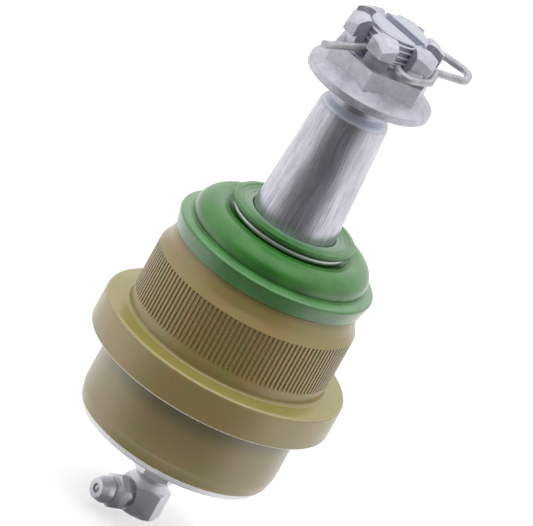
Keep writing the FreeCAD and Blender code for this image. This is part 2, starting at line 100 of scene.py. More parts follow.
class Value:
    """One number of a node tree, held as a socket; arithmetic on it adds Math nodes."""

    def __init__(self, graph: Graph, socket: bpy.types.NodeSocket) -> None:
        """Keep the graph that owns the nodes and the socket that gives the number."""
        self.graph = graph
        self.socket = socket

    def maths(self, operation: str, *operands: Value | float) -> Value:
        """Add one Math node.

        Args:
            operation: Blender's name of the operation.
            operands: the node's inputs in order.

        Returns:
            The node's result.
        """
        node = self.graph.node("ShaderNodeMath", {"operation": operation}, dict(enumerate(operands)))
        return Value(self.graph, node.outputs[0])

    def __add__(self, other: Value | float) -> Value:
        """Sum."""
        return self.maths("ADD", self, other)

    __radd__ = __add__

    def __sub__(self, other: Value | float) -> Value:
        """Difference."""
        return self.maths("SUBTRACT", self, other)

    def __rsub__(self, other: float) -> Value:
        """Difference with this number taken away."""
        return self.maths("SUBTRACT", other, self)

    def __mul__(self, other: Value | float) -> Value:
        """Product."""
        return self.maths("MULTIPLY", self, other)

    __rmul__ = __mul__

    def __truediv__(self, other: Value | float) -> Value:
        """Quotient."""
        return self.maths("DIVIDE", self, other)

    def __pow__(self, exponent: float) -> Value:
        """Power."""
        return self.maths("POWER", self, exponent)

    def size(self) -> Value:
        """Absolute value."""
        return self.maths("ABSOLUTE", self)

    def larger(self, other: Value | float) -> Value:
        """The larger of two numbers."""
        return self.maths("MAXIMUM", self, other)

    def rise(
        self, low: float, high: float, start: float = 0.0, end: float = 1.0, form: str = "SMOOTHSTEP"
    ) -> Value:
        """Step from one number to another.

        Args:
            low: number below which the result is start.
            high: number above which the result is end.
            start: result at low.
            end: result at high.
            form: Blender's name of the step's form.

        Returns:
            The stepped number.
        """
        sockets = {"Value": self, "From Min": low, "From Max": high, "To Min": start, "To Max": end}
        node = self.graph.node("ShaderNodeMapRange", {"interpolation_type": form}, sockets)
        return Value(self.graph, node.outputs["Result"])

    def band(self, middle: float, half_width: float, edge: float) -> Value:
        """Mask that is 1 within half_width of middle and fades over edge outside it."""
        return (self - middle).size().rise(half_width, half_width + edge, 1.0, 0.0)


class Graph:
    """Adds nodes to one empty node tree."""

    def __init__(self, tree: bpy.types.NodeTree) -> None:
        """Empty the tree."""
        self.tree = tree
        self.tree.nodes.clear()

    def node(self, kind: str, settings: dict[str, Any], sockets: dict[Any, Any]) -> bpy.types.Node:
        """Add one node.

        Args:
            kind: Blender's type name of the node.
            settings: properties set before the sockets.
            sockets: value or link of each input, by name or number.

        Returns:
            The new node.
        """
        node = self.tree.nodes.new(kind)
        for key, value in settings.items():
            setattr(node, key, value)
        for key, value in sockets.items():
            source = value.socket if isinstance(value, Value) else value
            if isinstance(source, bpy.types.NodeSocket):
                self.tree.links.new(source, node.inputs[key])
            else:
                node.inputs[key].default_value = source
        return node

    def split(self, vector: bpy.types.NodeSocket) -> dict[str, Value]:
        """The three numbers of a vector, by axis name."""
        node = self.node("ShaderNodeSeparateXYZ", {}, {"Vector": vector})
        return {name: Value(self, node.outputs[name]) for name in "XYZ"}

    def seen(self) -> Value:
        """Mask that is 1 for rays from the camera and in reflections, 0 for light on the object."""
        path = self.node("ShaderNodeLightPath", {}, {}).outputs
        mirrored = Value(self, path["Is Glossy Ray"]).larger(path["Is Transmission Ray"])
        return mirrored.larger(path["Is Camera Ray"])


class Recipe(Graph):
    """Builds one material's nodes round a Principled shader."""

    def __init__(self, name: str) -> None:
        """Start an empty material."""
        self.material = bpy.data.materials.new(name)
        self.material.use_nodes = True
        super().__init__(self.material.node_tree)
        self.shader = self.node("ShaderNodeBsdfPrincipled", {}, {})
        self.node("ShaderNodeOutputMaterial", {}, {"Surface": self.shader.outputs["BSDF"]})
        self.place = self.node("ShaderNodeTexCoord", {}, {}).outputs["Object"]
        self._parts: dict[str, Value] = {}

    def along(self, axis: str) -> Value:
        """Object coordinate X, Y or Z in metres."""
        if not self._parts:
            self._parts = self.split(self.place)
        return self._parts[axis]

    def from_axis(self) -> Value:
        """Distance from the part's axis in metres."""
        return (self.along("X") ** 2.0 + self.along("Y") ** 2.0) ** 0.5

    def near_edge(self, radius: float, height: float, reach: float) -> Value:
        """Mask that is 1 on a turned edge at this radius and height and fades out at reach."""
        across = self.from_axis() - radius
        along = self.along("Z") - height
        return ((across * across + along * along) ** 0.5).rise(0.5 * reach, reach, 1.0, 0.0)

    def round_axis(self) -> Value:
        """Angle round the part's axis in radians."""
        return self.along("Y").maths("ARCTAN2", self.along("Y"), self.along("X"))

    def point(self, x: Value | float, y: Value | float, z: Value | float) -> bpy.types.NodeSocket:
        """Vector put together from three numbers."""
        return self.node("ShaderNodeCombineXYZ", {}, {"X": x, "Y": y, "Z": z}).outputs["Vector"]

    def noise(
        self,
        size: float = 1.0,
        detail: float = 3.0,
        roughness: float = 0.5,
        stretch: Sequence[float] = (1.0, 1.0, 1.0),
        at: bpy.types.NodeSocket | None = None,
    ) -> Value:
        """Soft noise between about 0.2 and 0.8.

        Args:
            size: width of its largest blotches in metres, not used with at.
            detail: number of finer layers.
            roughness: strength of the finer layers.
            stretch: how much tighter the pattern is along each axis.
            at: other coordinates than the object's, in blotches.

        Returns:
            The noise.
        """
        if at is None:
            scale = tuple(factor / size for factor in stretch)
            at = self.node("ShaderNodeMapping", {}, {"Vector": self.place, "Scale": scale}).outputs[0]
        sockets = {"Vector": at, "Scale": 1.0, "Detail": detail, "Roughness": roughness}
        return Value(self, self.node("ShaderNodeTexNoise", {}, sockets).outputs["Fac"])

    def mix(self, factor: Value | float, first: Any, second: Any) -> bpy.types.NodeSocket:
        """Blend two colours.

        Args:
            factor: share of the second colour.
            first: colour or socket at 0.
            second: colour or socket at 1.

        Returns:
            The blended colour.
        """
        colours = [(*c, 1.0) if isinstance(c, tuple) else c for c in (first, second)]
        sockets = {0: factor, 6: colours[0], 7: colours[1]}
        return self.node("ShaderNodeMix", {"data_type": "RGBA"}, sockets).outputs[2]

    def bump(self, height: Value, depth: float) -> bpy.types.NodeSocket:
        """Normal bent by a relief: height is a pattern from 0 to 1, and depth what 1 stands for."""
        sockets = {"Height": height, "Distance": depth, "Strength": 1.0}
        return self.node("ShaderNodeBump", {}, sockets).outputs["Normal"]

    def finish(self, **sockets: Any) -> bpy.types.Material:
        """Set the shader's sockets, named with underscores for spaces, and return the material."""
        for key, value in sockets.items():
            source = value.socket if isinstance(value, Value) else value
            target = self.shader.inputs[key.replace("_", " ")]
            if isinstance(source, bpy.types.NodeSocket):
                self.tree.links.new(source, target)
            else:
                target.default_value = (*source, 1.0) if isinstance(source, tuple) else source
        return self.material


def scaled(colour: Colour, share: float) -> Colour:
    """Colour with every part multiplied by share."""
    return tuple(share * part for part in colour)


@dataclass(frozen=True)
class HousingCoat:
    """Satin olive-tan coating on the forging, with painted highlights on the flange's edges and painted
    shade under the flange.
    """

    brown: Colour = (0.310, 0.206, 0.058)
    olive: Colour = (0.262, 0.218, 0.050)
    seat: Colour = (0.285, 0.258, 0.070)
    highlight_and_wear: Colour = (0.780, 0.760, 0.680)
    flange_radius: float = 32.5 * MM
    flange_top_z: float = -2.0 * MM
    flange_bottom_z: float = -11.05 * MM
    edge_reach: float = 0.55 * MM
    upper_highlight_share: float = 0.35
    seat_half: float = 0.3 * MM
    seat_fade: float = 0.5 * MM
    seat_share: float = 0.7
    knurl_middle: float = 8.1 * MM
    knurl_half: float = 6.8 * MM
    knurl_fade: float = 0.2 * MM
    groove_radius: float = 26.25 * MM
    crest_radius: float = 26.62 * MM
    groove_shade_tone: float = 0.90
    barrel_limit: float = 28.0 * MM
    under_half: float = 2.6 * MM
    under_fade: float = 5.0 * MM
    under_shade_share: float = 0.70
    under_shade_tone: float = 0.3
    blotch_size: float = 7 * MM
    grain_size: float = 0.30 * MM
    turning_size: float = 0.25 * MM
    relief: float = 0.006 * MM
    roughness: float = 0.31
    metallic: float = 0.03
    ior: float = 1.9

    def material(self) -> bpy.types.Material:
        """Blotches and grain, with painted shade in the knurl's grooves and under the flange and painted
        highlights on the flange's edges.
        """
        recipe = Recipe("housing_coat")
        height = recipe.along("Z")
        blotch = recipe.noise(self.blotch_size, detail=4.0, roughness=0.55)
        grain = recipe.noise(self.grain_size, detail=3.0, roughness=0.6)
        turning = recipe.noise(self.turning_size, detail=2.0, stretch=(0.02, 0.02, 1.0))
        tone = (blotch * 0.85 + grain * 0.15).rise(0.36, 0.64)
        colour = recipe.mix(tone, self.brown, self.olive)
        seat = height.band(self.flange_top_z, self.seat_half, self.seat_fade)
        colour = recipe.mix(seat * self.seat_share, colour, self.seat)
        knurl = height.band(self.knurl_middle, self.knurl_half, self.knurl_fade)
        depth = recipe.from_axis().rise(self.groove_radius, self.crest_radius, 1.0, 0.0)
        # Painted shade: the knurl's grooves are drawn darker than its crests.
        colour = recipe.mix(knurl * depth, colour, scaled(self.brown, self.groove_shade_tone))
        # Painted shade: a dark band on the barrel just under the flange, fading downwards.
        barrel = recipe.from_axis().rise(self.barrel_limit, self.barrel_limit + MM, 1.0, 0.0)
        under = height.band(self.flange_bottom_z, self.under_half, self.under_fade)
        under_flange_shade = scaled(self.olive, self.under_shade_tone)
        colour = recipe.mix(under * barrel * self.under_shade_share, colour, under_flange_shade)
        # Painted highlight: pale colour on the flange's lower edge, and more faintly on its upper edge.
        lower = recipe.near_edge(self.flange_radius, self.flange_bottom_z, self.edge_reach)
        upper = recipe.near_edge(self.flange_radius, self.flange_top_z, self.edge_reach)
        edge_highlight = lower.larger(upper * self.upper_highlight_share) * blotch.rise(0.25, 0.5, 0.6, 1.0)
        return recipe.finish(
            Base_Color=recipe.mix(edge_highlight, colour, self.highlight_and_wear),
            Roughness=self.roughness + (grain - 0.5) * 0.12 + (blotch - 0.5) * 0.10,
            Normal=recipe.bump(grain * 0.6 + turning * 0.4, self.relief),
            Metallic=self.metallic,
            IOR=self.ior,
        )


@dataclass(frozen=True)
class StudSteel:
    """Steel polished along the taper and neck, with hairline streaks and painted shade on the neck, and
    matt zinc elsewhere.
    """

    bright: Colour = (0.610, 0.605, 0.680)
    dark: Colour = (0.345, 0.340, 0.390)
    zinc: Colour = (0.640, 0.670, 0.740)
    shoulder_z: float = 66.2 * MM
    shoulder_fade: float = 0.4 * MM
    neck_middle_z: float = 70.5 * MM
    neck_half: float = 2.1 * MM
    neck_fade: float = 0.2 * MM
    neck_shade_share: float = 0.6
    streaks_round: float = 48.0
    streaks_deep: float = 300.0
    streaks_along: float = 60.0
    lean: float = 2.6
    sway_size: float = 18 * MM
    sway_angle: float = 0.35
    blotch_size: float = 2.2 * MM
    grain_size: float = 0.35 * MM
    relief: float = 0.014 * MM
    roughness: float = 0.29
    metallic: float = 0.92

    def material(self) -> bpy.types.Material:
        """Stretch noise along the stud, bend it a little and let it roughen and darken the steel."""
        recipe = Recipe("stud_steel")
        height = recipe.along("Z")
        sway = recipe.noise(self.sway_size, detail=1.0)
        angle = recipe.round_axis() + (sway - 0.5) * self.sway_angle + height * self.lean
        run = recipe.point(
            angle * self.streaks_round,
            recipe.from_axis() * self.streaks_deep,
            height * self.streaks_along,
        )
        streaks = recipe.noise(detail=5.0, roughness=0.68, at=run)
        blotch = recipe.noise(self.blotch_size, detail=4.0, roughness=0.65, stretch=(1.0, 1.0, 0.30))
        grain = recipe.noise(self.grain_size, detail=2.0)
        worked = streaks * 0.7 + blotch * 0.3
        tone = worked.rise(0.36, 0.62)
        neck = height.band(self.neck_middle_z, self.neck_half, self.neck_fade)
        above = height.rise(self.shoulder_z, self.shoulder_z + self.shoulder_fade)
        plated = above * (1.0 - neck)
        colour = recipe.mix(tone, self.dark, self.bright)
        # Painted shade: the neck under the nut is drawn darker.
        colour = recipe.mix(neck * self.neck_shade_share, colour, self.dark)
        return recipe.finish(
            Base_Color=recipe.mix(plated, colour, self.zinc),
            Roughness=self.roughness + (1.0 - tone) * 0.10 + plated * 0.10 + (grain - 0.5) * 0.05,
            Normal=recipe.bump(worked, self.relief),
            Metallic=self.metallic,
        )


@dataclass(frozen=True)
class ZincPlate:
    """Zinc plate on steel, from matt and grainy to bright and smooth."""

    name: str
    light: Colour
    shade: Colour
    metallic: float = 0.65
    roughness: float = 0.34
    grain_size: float = 0.4 * MM
    relief: float = 0.008 * MM
    cloud_size: float = 3.5 * MM
    spot_size: float = 1.3 * MM
    spot_tone: float = 0.75

    def material(self) -> bpy.types.Material:
        """Cloudy tone over a fine crystalline grain, with a few darker rubbed spots."""
        recipe = Recipe(self.name)
        cloud = recipe.noise(self.cloud_size, detail=4.0, roughness=0.6)
        grain = recipe.noise(self.grain_size, detail=3.0, roughness=0.7)
        spots = recipe.noise(self.spot_size, detail=2.0).rise(0.66, 0.76, 0.0, 0.5)
        tone = (cloud * 0.55 + grain * 0.45).rise(0.34, 0.66)
        colour = recipe.mix(tone, self.shade, self.light)
        return recipe.finish(
            Base_Color=recipe.mix(spots, colour, scaled(self.shade, self.spot_tone)),
            Roughness=self.roughness + (cloud - 0.5) * 0.2,
            Normal=recipe.bump(grain * 0.7 + cloud * 0.3, self.relief),
            Metallic=self.metallic,
        )


@dataclass(frozen=True)
class BootRubber:
    """Green moulded rubber with a soft, slightly greasy sheen."""

    deep: Colour = (0.014, 0.120, 0.006)
    light: Colour = (0.030, 0.190, 0.014)
    highlight_and_wear: Colour = (0.300, 0.450, 0.320)
    lip_z: float = 34.0 * MM
    lip_fade: float = 0.3 * MM
    lip_inner: float = 11.6 * MM
    lip_outer: float = 15.2 * MM
    lip_share: float = 0.7
    ledge_z: float = 25.8 * MM
    ledge_half: float = 0.35 * MM
    ledge_fade: float = 0.25 * MM
    ledge_inner: float = 23.7 * MM
    ledge_sheen_share: float = 0.22
    cloud_size: float = 6 * MM
    grain_size: float = 0.5 * MM
    relief: float = 0.014 * MM
    roughness: float = 0.35
    ior: float = 1.6
    coat: float = 0.55
    coat_roughness: float = 0.25

    def material(self) -> bpy.types.Material:
        """Faint clouds and grain, paler where the stud rubs the lip, with a painted sheen on the base's
        ledge.
        """
        recipe = Recipe("boot_rubber")
        height = recipe.along("Z")
        cloud = recipe.noise(self.cloud_size, detail=3.0)
        grain = recipe.noise(self.grain_size, detail=3.0, roughness=0.55)
        tone = (cloud * 0.7 + grain * 0.3).rise(0.32, 0.68)
        colour = recipe.mix(tone, self.deep, self.light)
        top = height.rise(self.lip_z, self.lip_z + self.lip_fade)
        rubbed = recipe.from_axis().rise(self.lip_inner, self.lip_outer, self.lip_share, 0.0)
        colour = recipe.mix(top * rubbed * (0.5 + cloud * 0.5), colour, self.highlight_and_wear)
        # Painted sheen: a pale band along the base's ledge.
        ledge = height.band(self.ledge_z, self.ledge_half, self.ledge_fade)
        ledge_outer = self.ledge_inner + 0.5 * MM
        ledge_sheen = recipe.from_axis().rise(self.ledge_inner, ledge_outer, 0.0, self.ledge_sheen_share)
        return recipe.finish(
            Base_Color=recipe.mix(ledge * ledge_sheen, colour, self.highlight_and_wear),
            Roughness=self.roughness + (grain - 0.5) * 0.2,
            Normal=recipe.bump(grain, self.relief),
            IOR=self.ior,
            Coat_Weight=self.coat,
            Coat_IOR=self.ior,
            Coat_Roughness=self.coat_roughness,
        )


@dataclass(frozen=True)
class PlainFinish:
    """Even finish of a small or inner piece, with a little grain."""

    name: str
    light: Colour
    shade: Colour
    metallic: float
    roughness: float
    cloud_size: float = 4 * MM
    grain_size: float = 0.4 * MM
    relief: float = 0.01 * MM

    def material(self) -> bpy.types.Material:
        """Two tones through fine noise with matching relief."""
        recipe = Recipe(self.name)
        grain = recipe.noise(self.grain_size, detail=3.0)
        cloud = recipe.noise(self.cloud_size, detail=2.0)
        tone = (grain * 0.5 + cloud * 0.5).rise(0.35, 0.65)
        return recipe.finish(
            Base_Color=recipe.mix(tone, self.shade, self.light),
            Roughness=self.roughness + (grain - 0.5) * 0.15,
            Normal=recipe.bump(grain, self.relief),
            Metallic=self.metallic,
        )


NUT_ZINC = ZincPlate(
    "nut_zinc", (0.635, 0.631, 0.712), (0.428, 0.422, 0.484),
    roughness=0.42, grain_size=0.30 * MM, relief=0.016 * MM,
)
FITTING_ZINC = ZincPlate(
    "fitting_zinc", (0.80, 0.81, 0.84), (0.66, 0.66, 0.70), grain_size=0.3 * MM, relief=0.014 * MM
)
COVER_ZINC = ZincPlate("cover_zinc", (0.90, 0.90, 0.92), (0.84, 0.84, 0.86), metallic=0.4)
PIN_ZINC = ZincPlate(
    "pin_zinc", (0.56, 0.56, 0.58), (0.36, 0.36, 0.39),
    roughness=0.36, grain_size=0.5 * MM, relief=0.015 * MM,
)
RING_STEEL = PlainFinish("ring_steel", (0.94, 0.96, 0.98), (0.88, 0.90, 0.93), 0.6, 0.40)
POLYMER = PlainFinish("bearing_polymer", (0.72, 0.70, 0.62), (0.66, 0.64, 0.56), 0.0, 0.45)
SPRING_STEEL = PlainFinish("spring_steel", (0.20, 0.21, 0.23), (0.14, 0.15, 0.17), 1.0, 0.4)
PLAIN_STEEL = PlainFinish("plain_steel", (0.50, 0.50, 0.53), (0.42, 0.42, 0.45), 1.0, 0.32)
SEAL_RUBBER = PlainFinish("seal_rubber", (0.03, 0.03, 0.03), (0.02, 0.02, 0.02), 0.0, 0.5)


@dataclass
class Wardrobe:
    """The frame's nodes with the finish of each, found by the node's material slot."""

    frame: dict[str, Any]
    finishes: dict[str, bpy.types.Material]

    @classmethod
    def fill(cls, frame: dict[str, Any]) -> Wardrobe:
        """Make every finish once, under the slot that the record gives it."""
        finishes = {
            "housing_coating": HousingCoat(),
            "stud_steel": StudSteel(),
            "nut_zinc": NUT_ZINC,
            "fitting_zinc": FITTING_ZINC,
            "cover_zinc": COVER_ZINC,
            "ring_steel": RING_STEEL,
            "pin_steel": PIN_ZINC,
            "bearing_polymer": POLYMER,
            "spring_steel": SPRING_STEEL,
            "plain_steel": PLAIN_STEEL,
            "seal_rubber": SEAL_RUBBER,
            "boot_rubber": BootRubber(),
        }
        return cls(frame, {slot: finish.material() for slot, finish in finishes.items()})

    def entry_of(self, node: str) -> dict[str, str]:
        """The record's entry of a node."""
        return {entry["node"]: entry for entry in self.frame["record"]["subparts"]}[node]

    def dress(self, node: str) -> None:
        """Give a node of the frame its finish in all its slots."""
        for slot in self.frame["nodes"][node].material_slots:
            slot.material = self.finishes[self.entry_of(node)["material_slot"]]

    def smooth_copy(self, node: str, rides: bool = True) -> bpy.types.Object:
        """Replace a node by its own shape with merged vertices, smooth faces and sharp edges.

        Args:
            node: name of the node.
            rides: whether the piece moves as a whole, not bent between two bodies.

        Returns:
            The new piece, riding where the node rides.
        """
        source = self.frame["nodes"][node]
        mesh = source.data.copy()
        mesh.name = node + "_skin"
        working = bmesh.new()
        working.from_mesh(mesh)
        bmesh.ops.remove_doubles(working, verts=working.verts, dist=WELD_DISTANCE)
        for face in working.faces:
            face.smooth = True
        for edge in working.edges:
            edge.smooth = edge.calc_face_angle(0.0) < SHARP_ANGLE
        working.to_mesh(mesh)
        working.free()
        if "custom_normal" in mesh.attributes:
            mesh.attributes.remove(mesh.attributes["custom_normal"])
        entry = self.entry_of(node)
        mesh.materials.clear()
        mesh.materials.append(self.finishes[entry["material_slot"]])
        piece = new_object(node + "_skin", mesh)
        if rides:
            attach(piece, source["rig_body"])
        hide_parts(node)
        return piece

    def compressed_spring(self, node: str, inward: Sequence[float]) -> None:
        """Replace the check ball's spring by a smooth copy that rides on no body.

        Args:
            node: name of the spring.
            inward: direction of the ball's travel, not used.
        """
        spring = self.smooth_copy(node, rides=False)
        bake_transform(spring)


def new_object(name: str, data: bpy.types.ID) -> bpy.types.Object:
    """Put data into the scene as an object."""
    piece = bpy.data.objects.new(name, data)
    bpy.context.scene.collection.objects.link(piece)
    return piece


def arc(centre: Sequence[float], radius: float, start: float, end: float, count: int) -> np.ndarray:
    """Points of a circular arc in the (radius, z) plane: centre plus radius times (cos a, sin a).

    Args:
        centre: centre of the circle.
        radius: its radius.
        start: first angle in degrees from the outward direction.
        end: last angle in degrees.
        count: number of points.

    Returns:
        Array of points, one row each.
    """
    angles = np.radians(np.linspace(start, end, count))
    return np.column_stack([centre[0] + radius * np.cos(angles), centre[1] + radius * np.sin(angles)])


def line(first: Sequence[float], last: Sequence[float], count: int = 2) -> np.ndarray:
    """Evenly spaced points of a straight line."""
    return np.linspace(first, last, count)


def turned(radius: np.ndarray, angle: np.ndarray, height: np.ndarray) -> np.ndarray:
    """Points at (r sin a, -r cos a, z), with the three arrays broadcast to one grid."""
    radius, angle, height = np.broadcast_arrays(radius, angle, height)
    return np.stack([radius * np.sin(angle), -radius * np.cos(angle), height], axis=-1)


def full_turn(columns: int) -> np.ndarray:
    """Angles of a full turn, one row of columns."""
    return np.linspace(0.0, 2.0 * math.pi, columns, endpoint=False)[None, :]


def grid_mesh(name: str, points: np.ndarray) -> bpy.types.Object:
    """Make a smooth mesh from a grid of points that closes on itself in both directions.

    Args:
        name: name of the new object.
        points: array of rows by columns by 3, rows along the outline and columns round the axis.

    Returns:
        The new object with faces that point outwards for an outline drawn anticlockwise.
    """
    rows, columns = points.shape[:2]
    index = np.arange(rows * columns).reshape(rows, columns)
    below = np.roll(index, -1, axis=0)
    faces = np.stack([index, np.roll(index, -1, axis=1), np.roll(below, -1, axis=1), below], axis=-1)
    mesh = bpy.data.meshes.new(name)
    mesh.from_pydata(points.reshape(-1, 3).tolist(), [], faces.reshape(-1, 4).tolist())
    mesh.shade_smooth()
    return new_object(name, mesh)


@dataclass
class Boot:
    """Rubber boot in two pieces, and the wire ring on its neck."""

    base_inner: float = 23.45 * MM
    base_bottom_radius: float = 25.4 * MM
    base_bottom_z: float = 21.15 * MM
    base_edge: float = 0.3 * MM
    side_bottom: tuple[float, float] = (25.5 * MM, 21.95 * MM)
    side_top: tuple[float, float] = (26.1 * MM, 24.5 * MM)
    base_top_radius: float = 26.2 * MM
    base_top_z: float = 25.7 * MM
    ledge_edge: float = 0.8 * MM
    ledge_outer: tuple[float, float] = (24.9 * MM, 25.84 * MM)
    ledge_inner: tuple[float, float] = (23.9 * MM, 26.08 * MM)
    crease_outer: tuple[float, float] = (23.55 * MM, 26.12 * MM)
    crease_inner: tuple[float, float] = (23.45 * MM, 26.2 * MM)
    bulge_start_z: float = 26.35 * MM
    bulge_centre: tuple[float, float] = (18.7 * MM, 27.3 * MM)
    bulge_radius: float = 4.8 * MM
    bulge_end_angle: float = 128.0
    cavity_radius: float = 2.6 * MM
    cavity_end_angle: float = 115.0
    cavity_edge: float = 0.4 * MM
    neck_top_z: float = 23.65 * MM
    stretch_from_z: float = 25.0 * MM
    seam_z: float = 26.95 * MM
    seam_gap: float = 0.05 * MM
    stretch_to_z: float = 29.7 * MM
    groove_bottom_outer: tuple[float, float] = (15.35 * MM, 31.05 * MM)
    groove_bottom_inner: tuple[float, float] = (14.6 * MM, 31.2 * MM)
    groove_top_inner: tuple[float, float] = (14.9 * MM, 33.45 * MM)
    groove_floor: float = 13.9 * MM
    groove_round: float = 0.5 * MM
    groove_half: float = 0.55 * MM
    ring_z: float = 32.2 * MM
    lip_radius: float = 16.4 * MM
    lip_bottom_z: float = 33.5 * MM
    lip_bottom_edge: float = 0.3 * MM
    lip_top_edge: float = 0.4 * MM
    top_z: float = 34.9 * MM
    step_count: float = 3.5
    step_height: float = 0.11 * MM
    dish_depth: float = 0.55 * MM
    bore_top_radius: float = 11.27 * MM
    bore_top_z: float = 34.0 * MM
    bore_bottom_radius: float = 11.6 * MM
    bore_bottom_z: float = 30.2 * MM
    underside_z: float = 30.1 * MM
    underside_outer: float = 15.9 * MM
    columns: int = 240

    def bulge_angle(self, height: float) -> float:
        """Angle on the bulge's outer circle, in degrees, at which it crosses a height."""
        return math.degrees(math.asin((height - self.bulge_centre[1]) / self.bulge_radius))

    def skirt_outline(self) -> np.ndarray:
        """Closed outline of the lower piece: base, ledge, crease and the bulge's lower part."""
        seam = self.bulge_angle(self.seam_z)
        edge = self.base_edge
        bottom = self.base_bottom_radius - edge
        ledge = self.ledge_edge
        wall = self.bulge_centre[0] + self.cavity_radius
        return np.concatenate([
            line((self.base_inner, self.base_bottom_z), (bottom, self.base_bottom_z), 3),
            arc((bottom, self.base_bottom_z + edge), edge, -80, -10, 4),
            line(self.side_bottom, self.side_top, 6),
            arc((self.base_top_radius - ledge, self.base_top_z - ledge), ledge, 0, 80, 7),
            line(self.ledge_outer, self.ledge_inner, 5),
            line(self.crease_outer, self.crease_inner),
            arc(self.bulge_centre, self.bulge_radius, self.bulge_angle(self.bulge_start_z), seam - 1.0, 14),
            arc(self.bulge_centre, self.bulge_radius, seam - 0.3, seam, 2),
            line((wall, self.seam_z), (wall, self.neck_top_z + 0.6 * MM), 7),
            line((wall - 0.1 * MM, self.neck_top_z + 0.3 * MM), (wall - self.cavity_edge, self.neck_top_z)),
            line((self.base_inner - edge, self.neck_top_z), (self.base_inner, self.neck_top_z - edge)),
        ])

    def crown_outline(self) -> np.ndarray:
        """Closed outline of the upper piece: the bulge's top, ring groove, lip and bore."""
        centre = self.bulge_centre
        seam = self.bulge_angle(self.seam_z)
        wall = centre[0] + self.cavity_radius
        groove = self.groove_floor + self.groove_round
        low_edge = self.lip_bottom_edge
        top_edge = self.lip_top_edge
        lip_corner = (self.lip_radius - low_edge, self.lip_bottom_z + low_edge)
        bore_foot = self.bore_bottom_radius + 0.3 * MM
        return np.concatenate([
            arc(centre, self.bulge_radius, seam, seam + 0.3, 2),
            arc(centre, self.bulge_radius, seam + 1.5, self.bulge_end_angle, 26),
            line(self.groove_bottom_outer, self.groove_bottom_inner, 3),
            arc((groove, self.ring_z - self.groove_half), self.groove_round, 260, 180, 5),
            arc((groove, self.ring_z + self.groove_half), self.groove_round, 180, 100, 5),
            line(self.groove_top_inner, (lip_corner[0] - 0.4 * MM, self.lip_bottom_z), 3),
            arc(lip_corner, low_edge, -75, 0, 5),
            arc((self.lip_radius - top_edge, self.top_z - top_edge), top_edge, 0, 85, 7),
            self.lip_steps(),
            line((self.bore_top_radius, self.bore_top_z), (self.bore_bottom_radius, self.bore_bottom_z), 5),
            line((bore_foot, self.underside_z), (self.underside_outer, self.underside_z), 4),
            arc(centre, self.cavity_radius, self.cavity_end_angle, 0, 10),
            line((wall, centre[1] - 0.1 * MM), (wall, self.seam_z), 3),
        ])

    def lip_steps(self) -> np.ndarray:
        """Top of the lip from its edge inwards: shallow moulded steps, radius falling evenly."""
        count = 41
        radius = np.linspace(self.lip_radius - 1.0 * MM, self.bore_top_radius + 0.05 * MM, count)
        share = np.linspace(0.0, 1.0, count)
        steps = self.step_height * np.sin(share * self.step_count * 2.0 * math.pi)
        return np.column_stack([radius, self.top_z - self.dish_depth * share**2 + steps])

    def build(self, wardrobe: Wardrobe) -> None:
        """Make both boot pieces in place of the CAD boot and dress the ring."""
        rubber = wardrobe.finishes["boot_rubber"]
        skirt = self.make("boot_skirt", self.skirt_outline(), rubber)
        crown = self.make("boot_crown", self.crown_outline(), rubber)
        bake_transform(skirt)
        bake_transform(crown)
        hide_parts("dust_boot")
        wardrobe.smooth_copy("boot_neck_ring")
        LOG.info("boot: %s and %s", skirt.name, crown.name)

    def make(self, name: str, outline: np.ndarray, rubber: bpy.types.Material) -> bpy.types.Object:
        """Turn one outline into a rubber piece."""
        piece = grid_mesh(name, turned(outline[:, :1], full_turn(self.columns), outline[:, 1:]))
        piece.data.materials.append(rubber)
        return piece


